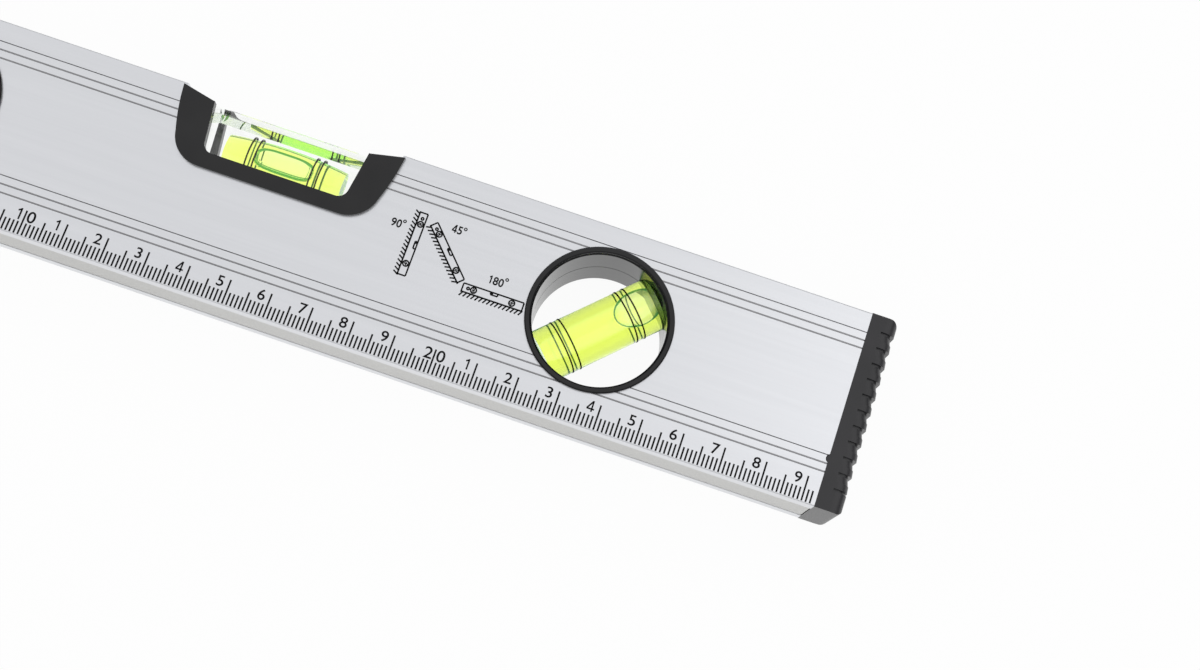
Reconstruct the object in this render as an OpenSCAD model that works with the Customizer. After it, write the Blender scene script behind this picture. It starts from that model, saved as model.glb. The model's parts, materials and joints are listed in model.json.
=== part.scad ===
// Magnetic spirit level, 300 mm, lying on its back as it is laid down on a bench.
// X runs along the level, Y from the measuring base to the top edge, Z out of the printed face.
// The origin is the middle of the footprint, on the surface under the rear bezels.

/* [Level] */
// Length over both end caps
level_len = 300; // [275:1:400]
// Height from the measuring base to the top edge
level_h = 48; // [47:0.5:56]
// Thickness from face to face
level_t = 22; // [20:0.5:26]

/* [Box section] */
// Wall of each face
face_wall = 1.4; // [1:0.1:2]
// Wall along the top edge
top_wall = 1.8; // [1.2:0.1:2.4]
// Wall along the measuring base, with the magnet channel in it
base_wall = 3; // [2.4:0.1:4]
// Rounding of the outer edges
edge_r = 0.5; // [0.2:0.1:1]
// Rounding inside the corners
hollow_r = 1; // [0.5:0.1:2]
// Width of a score line at the surface
score_w = 0.42; // [0.2:0.02:0.6]
// Depth of a score line
score_depth = 0.3; // [0.1:0.05:0.5]
// Distance between the score lines of a group
score_pitch = 2; // [1.5:0.1:2.5]
// Width of the fine third line of each group
fine_score_w = 0.24; // [0.1:0.02:0.4]
// Lower group's first line above the measuring base
score_low = 8.4; // [7:0.1:10]
// Upper group's first line below the top edge
score_high = 9; // [8.5:0.1:11]

/* [Magnet strip] */
// Width of the strip
magnet_w = 13; // [8:0.5:15]
// Thickness of the strip
magnet_t = 1.3; // [0.8:0.1:1.6]
// How far the strip lies below the two lands of the measuring base
magnet_recess = 0.15; // [0.05:0.05:0.4]
// Gap between the strip and each channel wall
magnet_gap = 0.15; // [0.1:0.05:0.4]

/* [Round windows] */
// Distance of each window centre from its end of the level
window_end = 66.77; // [58:0.01:84]
// Height of the window centres above the measuring base
window_h = 25.3; // [24:0.1:27]
// Clear radius of the window
window_r = 15.8; // [15.2:0.1:16.4]
// Width of the bezel, from the clear radius outwards
bezel_w = 1.7; // [1.4:0.1:2.2]
// How far every bezel stands proud of the faces
bezel_h = 0.8; // [0.4:0.1:1.2]
// Wall of the window barrel
barrel_wall = 0.9; // [0.8:0.05:1]
// Depth of the rebate inside the bezel
bezel_step = 1.1; // [0.6:0.1:1.6]
// Width of the sloping ledge in that rebate
bezel_ledge = 0.25; // [0.2:0.05:0.4]
// Chamfer on the bezel's edges
bezel_chamfer = 0.3; // [0.1:0.05:0.4]
// Chamfer on the seam between the two halves of a window barrel
seam_chamfer = 0.15; // [0.05:0.05:0.25]
// Length of the tongue that laps the two halves of a barrel
tongue_h = 1.2; // [0.6:0.1:2]
// Radial gap between a barrel and the hole in the box section
barrel_gap = 0.2; // [0.1:0.05:0.3]

/* [Vials in the round windows] */
// Outer radius of the tube
vial_r = 6.5; // [5.8:0.05:6.8]
// Wall of the tube
vial_wall = 1.05; // [0.8:0.05:1.3]
// Thickness of the tube's closed end
vial_end = 0.7; // [0.5:0.1:2]
// Thickness of the plug in the other end
plug_t = 1.2; // [0.8:0.1:2]
// How much slimmer the bore is at its ends than in the middle
bore_barrel = 0.12; // [0.05:0.01:0.3]
// Radial gap between the tube and the holes in the barrel that seat its ends
vial_gap = 0.1; // [0.05:0.05:0.2]
// Angle of the right vial to the measuring base
right_vial_angle = 45; // [30:5:60]
// Length of the bubble
bubble_len = 9.8; // [7:0.1:12]
// Width of the bubble as a share of the bore
bubble_fill = 0.78; // [0.6:0.02:0.84]
// Distance of the bubble from the plug that it has run up to
bubble_stop = 0.1; // [0.05:0.05:2]

/* [Ring lines on the vials] */
// Inner line of each pair from the middle of a window vial
line_inner = 7.5; // [6.6:0.1:8]
// Distance between the two lines of a pair
line_pitch = 2; // [1.5:0.1:2.4]
// Width of a line
line_w = 0.32; // [0.2:0.02:0.5]
// Depth of the groove that holds a line
line_t = 0.1; // [0.05:0.05:0.3]

/* [Level vial at the top edge] */
// Half width of the frame at the top edge
frame_top = 27.7; // [26.6:0.1:30]
// Half width of the frame at its lower edge, before the corner is rounded
frame_low = 23.9; // [23.4:0.1:26]
// Distance of the frame's lower edge from the top edge
frame_depth = 18.8; // [18.5:0.1:20]
// Rounding of the frame's lower corners
frame_r = 8; // [5:0.5:10]
// How far the frame's sides bow out
frame_bow = 0.35; // [0.1:0.05:0.8]
// Half width of the frame's opening at the top edge
opening_top = 19.6; // [18:0.1:20.4]
// Half width of the opening at its lower edge
opening_low = 17.5; // [16.8:0.1:18]
// Distance of the opening's lower edge from the top edge
opening_depth = 14.9; // [14:0.1:15.2]
// Rounding of the opening's lower corners
opening_r = 2.5; // [1:0.1:4]
// Drop of the clear block's top below the top edge
block_drop = 2.5; // [2.2:0.1:3.2]
// Drop of the frame's shoulders below the top edge
shoulder_drop = 0.7; // [0.3:0.1:1.4]
// Set-back of the clear block behind each face
block_setback = 1.5; // [1:0.1:2]
// Rounding of the block's lower corners
block_r = 1; // [0.4:0.1:2]
// How far the block runs behind the frame at its ends
block_lip = 0.8; // [0.5:0.1:1.2]
// How far the block runs behind the frame's lower band
block_sill = 1.7; // [1.4:0.1:1.9]
// How far the frame laps over the cut edge of the box section
frame_lap = 0.8; // [0.5:0.1:1]
// Wall of the frame moulding
frame_wall = 1.3; // [1:0.1:1.6]
// Gap around each half of the frame
frame_gap = 0.12; // [0.08:0.02:0.2]
// Distance of the level vial's axis from the top edge
centre_axis = 10.4; // [10:0.1:10.6]
// Outer radius of the level vial
centre_r = 5; // [4.6:0.1:5.6]
// Wall of the level vial
centre_wall = 0.5; // [0.4:0.05:1]
// Set-back of the level vial's ends behind the block's sides at their narrowest
centre_margin = 0.2; // [0.1:0.05:0.5]
// Thickness of each solid end of the level vial
centre_end = 3.35; // [2:0.05:4.5]
// Inner line of each pair from the middle of the level vial
centre_line_inner = 7; // [6:0.1:8]
// Distance between the two lines of a pair on the level vial
centre_line_pitch = 1.8; // [1.5:0.1:2.4]
// Length of the level vial's bubble
centre_bubble_len = 14; // [10:0.1:14.4]
// Width of that bubble as a share of the bore
centre_bubble_fill = 0.62; // [0.5:0.02:0.8]
// Radius of the pegs that locate the frame's halves
peg_r = 1; // [0.8:0.1:1.2]
// Length of the pegs
peg_len = 3; // [2:0.5:6]
// Wall of the bosses around the pegs and their sockets
peg_wall = 0.8; // [0.6:0.1:1.2]
// Distance of the pegs from the top edge
peg_drop = 8.8; // [8:0.1:10]

/* [Hang hole] */
// Distance of the hang hole from the left end
hang_x = 24; // [22:0.5:28]
// Clear radius of the hang hole
hang_r = 4; // [3:0.1:4.6]
// Width of the eyelet's flange
eyelet_w = 2; // [1.5:0.1:2.4]
// Wall of the eyelet
eyelet_wall = 1; // [0.8:0.1:1.2]
// Depth of the rebate inside the eyelet's flange
eyelet_step = 0.6; // [0.3:0.1:1]

/* [End caps] */
// Visible length of an end cap
cap_len = 6.8; // [6:0.1:8]
// Plain strip beside the box section, before the grip starts
cap_strip = 3.1; // [2:0.1:4]
// Distance between the grip's slots
grip_pitch = 3.88; // [3:0.02:5]
// Width of a slot
slot_w = 0.6; // [0.3:0.05:0.9]
// Depth of a slot
slot_depth = 0.6; // [0.3:0.05:0.9]
// First slot below the top edge
first_slot = 3.7; // [3:0.1:5]
// Plain height left above the measuring base
grip_foot = 4.6; // [3.5:0.1:8]
// Recess of a scale where it starts under a slot
scale_recess = 0.95; // [0.4:0.05:1.2]
// Rounding of the cap's end towards both faces
cap_round = 3; // [1:0.1:3.6]
// Rounding of the cap's top corner
cap_top_r = 2; // [1:0.1:3]
// Rounding of the cap's bottom corner
cap_low_r = 1.6; // [1:0.1:3]
// Wall of the cap's end
cap_wall = 2.6; // [2:0.1:3.2]
// Length of the plug inside the box section
cap_plug = 7; // [5:0.5:8]
// Wall of that plug
plug_wall = 1.6; // [1.2:0.1:2.4]
// Gap between the plug and the box section
plug_gap = 0.15; // [0.1:0.05:0.3]
// Radius of the locating nibs
nib_r = 0.95; // [0.6:0.05:1.2]
// Height of the nibs above the measuring base
nib_h = 11.7; // [10:0.1:30]
// How far a nib reaches into the box section
nib_reach = 0.5; // [0.3:0.05:0.7]

/* [Hidden] */
$fn = 72;

aluminium = [0.86, 0.87, 0.89];
black = [0.2, 0.2, 0.22];
magnet_grey = [0.62, 0.62, 0.62];
clear = [0.9, 0.95, 0.92, 0.35];
liquid_green = [0.92, 1, 0.35, 0.85];
ink = [0.05, 0.08, 0.05];

low_y = -level_h / 2;
top_y = level_h / 2;
rear_z = bezel_h;
front_z = rear_z + level_t;
mid_z = rear_z + level_t / 2;
stack_t = level_t + 2 * bezel_h;
body_len = level_len - 2 * cap_len;
body_end = body_len / 2;
past = 1;
least_r = 0.05;

window_x = level_len / 2 - window_end;
window_y = low_y + window_h;
barrel_r = window_r + barrel_wall;
hang_y = 0;
hang_pos = -level_len / 2 + hang_x;

slot_count = floor((level_h - first_slot - grip_foot) / grip_pitch) + 1;

channel_depth = magnet_t + magnet_recess;
channel_w = magnet_w + 2 * magnet_gap;

vial_len = 2 * sqrt(barrel_r * barrel_r - vial_r * vial_r);
end_bubble = vial_len / 2 - plug_t - bubble_len / 2 - bubble_stop;

opening_y = top_y - opening_depth;
frame_y = top_y - frame_depth;
block_top = top_y - block_drop;
block_t = level_t - 2 * block_setback;
centre_y = top_y - centre_axis;
centre_len = 2 * (opening_low + block_lip - centre_margin);
skirt_in = frame_lap + frame_gap;
roof_slope = (block_drop - shoulder_drop) / (frame_top - opening_top);
peg_y = top_y - peg_drop;

// Rectangle with true round corners, its lower left corner at the origin
module rounded_rect(w, h, r) {
    translate([r, 0]) square([w - 2 * r, h]);
    translate([0, r]) square([w, h - 2 * r]);
    for (x = [r, w - r], y = [r, h - r]) translate([x, y]) circle(r);
}

// Flat shape in Y and Z drawn out along the level
module along_x(len) {
    translate([-len / 2, 0, 0]) rotate([90, 0, 90]) linear_extrude(len) children();
}

// Flat shape in X and Y cut through the whole stack
module through_z() {
    translate([0, 0, -past]) linear_extrude(stack_t + 2 * past) children();
}

// Box section

// One V-shaped score at height y; side is 1 on the front face and -1 on the rear face
module score(y, w, side) {
    face = side > 0 ? front_z : rear_z;
    lift = score_depth * side;
    polygon([[y - w, face + lift], [y + w, face + lift], [y, face - lift]]);
}

module section() {
    groups = [low_y + score_low, top_y - score_high];
    difference() {
        translate([low_y, rear_z]) rounded_rect(level_h, level_t, edge_r);
        translate([low_y + base_wall, rear_z + face_wall])
            rounded_rect(level_h - base_wall - top_wall, level_t - 2 * face_wall, hollow_r);
        translate([low_y - past, mid_z - channel_w / 2]) square([past + channel_depth, channel_w]);
        for (y = groups, side = [-1, 1], k = [0, 1, 2])
            score(y + k * score_pitch, k == 2 ? fine_score_w : score_w, side);
    }
}

module nibs(r, first_z, last_z) {
    translate([body_end + nib_r - nib_reach, low_y + nib_h, first_z]) cylinder(r = r, h = last_z - first_z);
}

module body() {
    color(aluminium) difference() {
        along_x(body_len) section();
        for (x = [-window_x, window_x])
            translate([x, window_y, -past]) cylinder(r = barrel_r + barrel_gap, h = stack_t + 2 * past);
        translate([hang_pos, hang_y, -past])
            cylinder(r = hang_r + eyelet_wall + barrel_gap, h = stack_t + 2 * past);
        through_z() polygon(frame_outline(-frame_lap, top_y + past));
        for (side = [0, 1]) mirror([side, 0, 0]) nibs(nib_r + plug_gap, -past, stack_t + past);
    }
}

module magnet_strip() {
    color(magnet_grey)
        translate([-body_end + magnet_gap, low_y + magnet_recess, mid_z - magnet_w / 2])
            cube([body_len - 2 * magnet_gap, magnet_t, magnet_w]);
}

// End caps

// Cap envelope seen on the face, shrunk by inset on its three free sides
module cap_face(inset) {
    x = level_len / 2 - inset;
    top = top_y - inset;
    low = low_y + inset;
    rt = cap_top_r - inset;
    rl = cap_low_r - inset;
    translate([body_end, low + rl]) square([x - body_end, top - low - rt - rl]);
    translate([body_end, low]) square([x - body_end - rl, rl]);
    translate([body_end, top - rt]) square([x - body_end - rt, rt]);
    translate([x - rl, low + rl]) circle(rl);
    translate([x - rt, top - rt]) circle(rt);
}

// Cap envelope seen from above, in X and Z, with its end face at x = 0
module cap_plan(inset) {
    w = cap_len + past;
    t = level_t - 2 * inset;
    r = cap_round - inset;
    translate([-w, -t / 2]) square([w - r, t]);
    translate([-w, -t / 2 + r]) square([w, t - 2 * r]);
    for (z = [-t / 2 + r, t / 2 - r]) translate([-r, z]) circle(r);
}

// The plan drawn out upwards from y, leaning in by lean degrees
module cap_stage(inset, y, h, lean, back) {
    translate([level_len / 2 - inset - back, y, mid_z]) rotate([0, 0, lean])
        rotate([90, 0, 0]) translate([0, 0, -h]) linear_extrude(h) cap_plan(inset);
}

module cap_core(inset) {
    intersection() {
        translate([0, 0, rear_z + inset]) linear_extrude(level_t - 2 * inset) cap_face(inset);
        cap_stage(inset, low_y - past, level_h + 2 * past, 0, 0);
    }
}

// Each scale of the grip has two tiers: [start, end, recess at start, recess at end] from its lower end
tiers = [[0, 0.42, 0, 0.18], [0.42, 1, 0.32, 1]];

module scale_tier(y, tier) {
    low = y + tier[0] * grip_pitch;
    high = y + tier[1] * grip_pitch;
    back = tier[2] * scale_recess;
    lean = atan2((tier[3] - tier[2]) * scale_recess, high - low);
    intersection() {
        translate([0, low, rear_z]) cube([level_len, high - low, level_t]);
        cap_stage(0, low, 2 * grip_pitch, lean, back);
    }
}

// The volume that the scales leave to the cap, as stacked stages
module scale_stack() {
    top_slot = top_y - first_slot;
    foot_top = top_slot - (slot_count - 1) * grip_pitch;
    for (k = [1 : slot_count - 1], tier = tiers) scale_tier(top_slot - k * grip_pitch, tier);
    intersection() {
        translate([0, top_slot, rear_z]) cube([level_len, first_slot + past, level_t]);
        cap_stage(0, top_slot, first_slot + past, 0, 0);
    }
    intersection() {
        translate([0, low_y - past, rear_z]) cube([level_len, foot_top - low_y + past, level_t]);
        cap_stage(0, low_y - past, level_h, 0, 0);
    }
}

// Slots that wrap round the cap's end and both its faces
module cap_slots() {
    difference() {
        for (k = [0 : slot_count - 1])
            translate([body_end + cap_strip, top_y - first_slot - k * grip_pitch - slot_w, -past])
                cube([cap_len, slot_w, stack_t + 2 * past]);
        cap_core(slot_depth);
    }
}

module cap_plug_area(inset) {
    y = low_y + base_wall + plug_gap + inset;
    z = rear_z + face_wall + plug_gap + inset;
    h = level_h - base_wall - top_wall - 2 * (plug_gap + inset);
    t = level_t - 2 * (face_wall + plug_gap + inset);
    translate([y, z]) rounded_rect(h, t, hollow_r);
}

module end_cap() {
    cavity_len = cap_plug + cap_len - cap_wall;
    difference() {
        union() {
            intersection() {
                translate([0, 0, rear_z]) linear_extrude(level_t) cap_face(0);
                scale_stack();
            }
            translate([body_end - cap_plug, 0, 0]) rotate([90, 0, 90])
                linear_extrude(cap_plug + past) cap_plug_area(0);
            nibs(nib_r, rear_z, front_z);
        }
        cap_slots();
        translate([body_end - cap_plug, 0, 0]) rotate([90, 0, 90])
            linear_extrude(2 * cavity_len, center = true) cap_plug_area(plug_wall);
    }
    // Web across the middle of the plug
    translate([body_end - cap_plug + past, -plug_wall / 2, rear_z + face_wall + plug_gap + plug_wall / 2])
        cube([cavity_len, plug_wall, level_t - 2 * (face_wall + plug_gap) - plug_wall]);
}

module end_cap_right() {
    color(black) end_cap();
}

module end_cap_left() {
    color(black) mirror([1, 0, 0]) end_cap();
}

// Frame and block of the level vial

// Right side of a tapered opening from its lower edge up to the height top:
// the corner is an arc of radius r, the side may bow out, and grow moves the whole line outwards
function side_points(half_top, half_low, y, r, bow, grow, top) =
    let (
        rise = [half_top - half_low, top_y - y],
        up = rise / norm(rise),
        out = [up[1], -up[0]],
        corner = [half_low, y] + grow * (out + [0, -1]) / (1 + up[0]),
        rr = max(r + grow, least_r),
        reach = rr / tan(acos(-up[0]) / 2),
        centre = corner + [-reach, rr],
        turn = 90 + atan2(out[1], out[0]),
        arc_steps = 12,
        side_steps = bow > 0 ? 8 : 1,
        start = corner + up * reach,
        end = corner + up * (top - corner[1]) / up[1]
    )
    concat(
        [for (k = [0 : arc_steps]) let (a = -90 + turn * k / arc_steps) centre + rr * [cos(a), sin(a)]],
        [for (k = [1 : side_steps]) let (t = k / side_steps) start + (end - start) * t + out * bow * 4 * t * (1 - t)]
    );

function both_sides(points) =
    concat(points, [for (k = [len(points) - 1 : -1 : 0]) [-points[k][0], points[k][1]]]);

function frame_outline(grow, top) =
    both_sides(side_points(frame_top, frame_low, frame_y, frame_r, frame_bow, grow, top));

function opening_outline() =
    both_sides(side_points(opening_top, opening_low, opening_y, opening_r, 0, 0, top_y + past));

function block_outline(grow, top) =
    both_sides(side_points(
        opening_top + block_lip, opening_low + block_lip, opening_y - block_sill, block_r, 0, grow, top
    ));

// Area of the frame between two outlines, under its sloping shoulders lowered by sink
module frame_area(outer, inner, sink) {
    reach = frame_top + 2 * past;
    end_y = block_top + (reach - opening_top) * roof_slope - sink;
    mid_y = block_top - sink;
    difference() {
        polygon(outer);
        polygon(inner);
        polygon([
            [-reach, top_y + 2 * past], [-reach, end_y], [-opening_top, mid_y],
            [opening_top, mid_y], [reach, end_y], [reach, top_y + 2 * past]
        ]);
    }
}

// Half of the frame with its seam at z = 0; pegs is 1 on the half that carries them
module frame_half(pegs) {
    half_t = level_t / 2;
    plate_z = half_t - block_setback + frame_gap;
    skirt = frame_outline(-skirt_in, top_y);
    pocket = frame_outline(-skirt_in - frame_wall, top_y);
    peg_x = (frame_low + opening_low + block_lip) / 2 + (frame_top - frame_low) / 2;
    difference() {
        union() {
            translate([0, 0, half_t]) linear_extrude(bezel_h)
                frame_area(frame_outline(0, top_y), opening_outline(), 0);
            translate([0, 0, plate_z]) linear_extrude(half_t - plate_z)
                frame_area(skirt, opening_outline(), 0);
            linear_extrude(plate_z) frame_area(skirt, block_outline(frame_gap, top_y + past), 0);
        }
        difference() {
            translate([0, 0, -past]) linear_extrude(half_t - block_setback + past)
                frame_area(pocket, block_outline(frame_gap + frame_wall, top_y + past), frame_wall);
            for (x = [-peg_x, peg_x]) translate([x, peg_y, -past])
                cylinder(r = peg_r + peg_wall, h = level_t);
        }
        if (pegs == 0) for (x = [-peg_x, peg_x]) translate([x, peg_y, -past])
            cylinder(r = peg_r + frame_gap, h = past + peg_len + 2 * frame_gap);
    }
    if (pegs == 1) for (x = [-peg_x, peg_x]) translate([x, peg_y, -peg_len])
        cylinder(r = peg_r, h = peg_len + frame_wall);
}

module centre_frame_front() {
    color(black) translate([0, 0, mid_z]) frame_half(0);
}

module centre_frame_rear() {
    color(black) translate([0, 0, mid_z]) mirror([0, 0, 1]) frame_half(1);
}

module centre_window_block() {
    color(clear) difference() {
        translate([0, 0, rear_z + block_setback]) linear_extrude(block_t)
            polygon(block_outline(0, block_top));
        translate([0, centre_y, mid_z]) rotate([0, 90, 0])
            cylinder(r = centre_r + vial_gap / 2, h = 3 * frame_top, center = true);
    }
}

// Vials, drawn with their axis along X and their middle at the origin; the plug is at the +X end

// Half profile of the barrel-shaped bore from first to last along the axis
function bore_profile(r, first, last) =
    let (steps = 12, half = (last - first) / 2, middle = (last + first) / 2)
    concat(
        [[0, first]],
        [for (k = [0 : steps]) let (t = 2 * k / steps - 1) [r - bore_barrel * t * t, middle + half * t]],
        [[0, last]]
    );

module turned() {
    rotate([0, 90, 0]) rotate_extrude() children();
}

module vial_bore(r, len, end_t, stop_t) {
    turned() polygon(bore_profile(r, -len / 2 + end_t, len / 2 - stop_t));
}

// Four rings sunk line_t deep into a tube of radius r; proud lifts their outer side to cut the grooves
module vial_lines(r, inner, pitch, proud) {
    for (side = [-1, 1], k = [0, 1]) translate([side * (inner + k * pitch), 0, 0])
        rotate([0, 90, 0]) difference() {
            cylinder(r = r + proud, h = line_w, center = true);
            cylinder(r = r - line_t, h = 2 * line_w, center = true);
        }
}

module vial_tube(r, wall, len, end_t, stop_t, inner, pitch) {
    difference() {
        rotate([0, 90, 0]) cylinder(r = r, h = len, center = true);
        vial_bore(r - wall, len, end_t, stop_t);
        translate([len / 2 - stop_t, 0, 0]) rotate([0, 90, 0]) cylinder(r = r - wall, h = stop_t + past);
        vial_lines(r, inner, pitch, line_t);
    }
}

module vial_plug(r, wall, len, stop_t) {
    translate([len / 2 - stop_t, 0, 0]) rotate([0, 90, 0]) cylinder(r = r - wall, h = stop_t);
}

// A bubble that rests against the side of the bore that faces +Z: a ball that cuts the bore
// in an oval as long and as wide as the bubble
module bubble(bore_r, length, fill) {
    half_w = bore_r * fill;
    half_l = length / 2;
    edge = sqrt(bore_r * bore_r - half_w * half_w);
    rise = ((half_l * half_l - half_w * half_w) / (bore_r - edge) + bore_r + edge) / 2;
    translate([0, 0, rise]) sphere(sqrt((rise - bore_r) * (rise - bore_r) + half_l * half_l));
}

module vial_liquid(r, wall, len, end_t, stop_t, bubble_l, fill, bubble_s) {
    difference() {
        vial_bore(r - wall, len, end_t, stop_t);
        translate([bubble_s, 0, 0]) bubble(r - wall, bubble_l, fill);
    }
}

// Places of the vials
module at_angle_vial() {
    translate([window_x, window_y, mid_z]) rotate([0, 0, right_vial_angle]) children();
}

module at_plumb_vial() {
    translate([-window_x, window_y, mid_z]) rotate([0, 0, 90]) children();
}

module at_centre_vial() {
    translate([0, centre_y, mid_z]) mirror([1, 0, 0]) children();
}

module window_vial_tube() {
    color(clear) vial_tube(vial_r, vial_wall, vial_len, vial_end, plug_t, line_inner, line_pitch);
}

module window_vial_liquid() {
    color(liquid_green)
        vial_liquid(vial_r, vial_wall, vial_len, vial_end, plug_t, bubble_len, bubble_fill, end_bubble);
}

module window_vial_plug() {
    color(clear) vial_plug(vial_r, vial_wall, vial_len, plug_t);
}

module window_vial_rings() {
    color(ink) vial_lines(vial_r, line_inner, line_pitch, 0);
}

module plumb_vial_tube() {
    at_plumb_vial() window_vial_tube();
}

module plumb_vial_liquid() {
    at_plumb_vial() window_vial_liquid();
}

module plumb_vial_plug() {
    at_plumb_vial() window_vial_plug();
}

module plumb_vial_rings() {
    at_plumb_vial() window_vial_rings();
}

module angle_vial_tube() {
    at_angle_vial() window_vial_tube();
}

module angle_vial_liquid() {
    at_angle_vial() window_vial_liquid();
}

module angle_vial_plug() {
    at_angle_vial() window_vial_plug();
}

module angle_vial_rings() {
    at_angle_vial() window_vial_rings();
}

module centre_vial_tube() {
    color(clear) at_centre_vial()
        vial_tube(centre_r, centre_wall, centre_len, centre_end, centre_end, centre_line_inner, centre_line_pitch);
}

module centre_vial_liquid() {
    color(liquid_green) at_centre_vial()
        vial_liquid(centre_r, centre_wall, centre_len, centre_end, centre_end,
            centre_bubble_len, centre_bubble_fill, 0);
}

module centre_vial_plug() {
    color(clear) at_centre_vial() vial_plug(centre_r, centre_wall, centre_len, centre_end);
}

module centre_vial_rings() {
    color(ink) at_centre_vial() vial_lines(centre_r, centre_line_inner, centre_line_pitch, 0);
}

// Lined openings: window rings and hang hole eyelet

// Half profile of a lining whose seam is at z = 0, with a chamfer of seam at the bore;
// tongue is 1 on the half that laps into the other
function lining_profile(bore, rim, wall, step, seam, tongue) =
    let (
        top = level_t / 2 + bezel_h,
        ledge_z = top - step,
        c = bezel_chamfer,
        rim_c = min(c, step / 2),
        ledge = bore + bezel_ledge,
        outer = bore + rim,
        barrel = bore + wall,
        lap = wall / 2 + (tongue == 1 ? -barrel_gap / 4 : barrel_gap / 4),
        lap_z = tongue == 1 ? -tongue_h : tongue_h + barrel_gap
    )
    concat(seam > 0 ? [[bore + seam, 0], [bore, seam]] : [[bore, 0]], [
        [bore, ledge_z - bezel_ledge],
        [ledge, ledge_z],
        [ledge, top - rim_c],
        [ledge + rim_c, top],
        [outer - c, top],
        [outer, top - c],
        [outer, level_t / 2],
        [barrel, level_t / 2],
        [barrel, lap_z],
        [barrel - lap, lap_z],
        [barrel - lap, 0]
    ]);

module lining_half(bore, rim, wall, step, seam, tongue) {
    rotate_extrude() polygon(lining_profile(bore, rim, wall, step, seam, tongue));
}

// Half of a window ring: the lining with a hole that seats each end of the vial, which lies along X
module ring_half(tongue) {
    difference() {
        lining_half(window_r, bezel_w, barrel_wall, bezel_step, seam_chamfer, tongue);
        rotate([0, 90, 0]) cylinder(r = vial_r + vial_gap, h = 3 * barrel_r, center = true);
    }
}

module plumb_ring_front() {
    color(black) at_plumb_vial() ring_half(1);
}

module plumb_ring_rear() {
    color(black) at_plumb_vial() mirror([0, 0, 1]) ring_half(0);
}

module angle_ring_front() {
    color(black) at_angle_vial() ring_half(1);
}

module angle_ring_rear() {
    color(black) at_angle_vial() mirror([0, 0, 1]) ring_half(0);
}

module hang_eyelet_front() {
    color(black) translate([hang_pos, hang_y, mid_z])
        lining_half(hang_r, eyelet_w, eyelet_wall, eyelet_step, 0, 1);
}

module hang_eyelet_rear() {
    color(black) translate([hang_pos, hang_y, mid_z]) mirror([0, 0, 1])
        lining_half(hang_r, eyelet_w, eyelet_wall, eyelet_step, 0, 0);
}

body();
end_cap_left();
end_cap_right();
magnet_strip();
centre_frame_front();
centre_frame_rear();
centre_window_block();
centre_vial_tube();
centre_vial_liquid();
centre_vial_plug();
centre_vial_rings();
plumb_ring_front();
plumb_ring_rear();
plumb_vial_tube();
plumb_vial_liquid();
plumb_vial_plug();
plumb_vial_rings();
angle_ring_front();
angle_ring_rear();
angle_vial_tube();
angle_vial_liquid();
angle_vial_plug();
angle_vial_rings();
hang_eyelet_front();
hang_eyelet_rear();
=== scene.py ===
# %% [markdown]
# # Magnetic spirit level
# A 300 mm box level lies on its back on a white bench. It is an extruded aluminium box with a printed
# rule, two round windows with a vial each, a clear block with a third vial at the top edge, and two
# moulded end caps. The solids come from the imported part; here each of them gets its finish, the vials
# become real optics, and the print goes onto the face.

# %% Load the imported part
import json
import math

import bmesh
import bpy
from mathutils import Matrix, Vector


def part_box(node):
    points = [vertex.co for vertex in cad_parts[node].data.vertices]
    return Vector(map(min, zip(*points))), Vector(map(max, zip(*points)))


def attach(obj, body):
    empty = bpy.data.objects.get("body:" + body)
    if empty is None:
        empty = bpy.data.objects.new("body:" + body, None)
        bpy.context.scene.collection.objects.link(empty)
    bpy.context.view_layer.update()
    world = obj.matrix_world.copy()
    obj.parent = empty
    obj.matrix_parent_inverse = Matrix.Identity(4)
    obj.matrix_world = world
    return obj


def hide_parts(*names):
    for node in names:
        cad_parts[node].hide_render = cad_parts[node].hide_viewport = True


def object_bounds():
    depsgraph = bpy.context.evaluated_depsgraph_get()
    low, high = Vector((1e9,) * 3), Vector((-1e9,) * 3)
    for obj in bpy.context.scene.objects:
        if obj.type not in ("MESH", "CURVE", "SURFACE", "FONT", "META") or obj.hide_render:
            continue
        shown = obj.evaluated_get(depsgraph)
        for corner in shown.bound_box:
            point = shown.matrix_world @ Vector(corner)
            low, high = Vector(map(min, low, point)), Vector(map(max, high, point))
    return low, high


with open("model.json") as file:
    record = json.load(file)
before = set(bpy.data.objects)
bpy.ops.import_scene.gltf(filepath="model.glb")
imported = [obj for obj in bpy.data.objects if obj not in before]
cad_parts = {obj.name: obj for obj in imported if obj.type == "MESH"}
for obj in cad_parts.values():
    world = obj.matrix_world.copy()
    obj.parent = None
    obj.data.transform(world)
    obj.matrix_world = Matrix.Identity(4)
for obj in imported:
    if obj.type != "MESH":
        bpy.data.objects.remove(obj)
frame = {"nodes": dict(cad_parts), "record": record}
cad_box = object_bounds()
nodes = frame["nodes"]
mm = 0.001
print("solids:", len(nodes), "box:", [round(v / mm, 2) for corner in cad_box for v in corner])

# %% [markdown]
# ## The places that everything else hangs on
# A piece that is placed by numbers typed twice drifts away from its carrier. So the face, the windows and
# the vials are read from the solids' own boxes, and each later cell works from these names.

# %% Read the main places from the solids
body_low, body_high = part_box("body")
face_z = body_high.z
base_y = body_low.y
top_y = body_high.y
mid_z = (body_low.z + body_high.z) / 2


def middle(node):
    low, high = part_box(node)
    return (low + high) / 2


plumb_window = middle("plumb_ring_front")
angle_window = middle("angle_ring_front")
print("face at", round(face_z / mm, 2))
print("windows at", round(plumb_window.x / mm, 2), round(angle_window.x / mm, 2))

# %% [markdown]
# ## Camera
# The picture looks steeply down on the right half of the level from the side of its measuring base, so the
# base shows as a narrow band and the bores show their upper walls. A long lens of 50 mm on a 36 mm
# sensor, 40 cm above the bench, gives the mild perspective of the rule. The camera is built from its
# place, its target and the level's slant in the picture, which is easier to read than three Euler angles.

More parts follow.
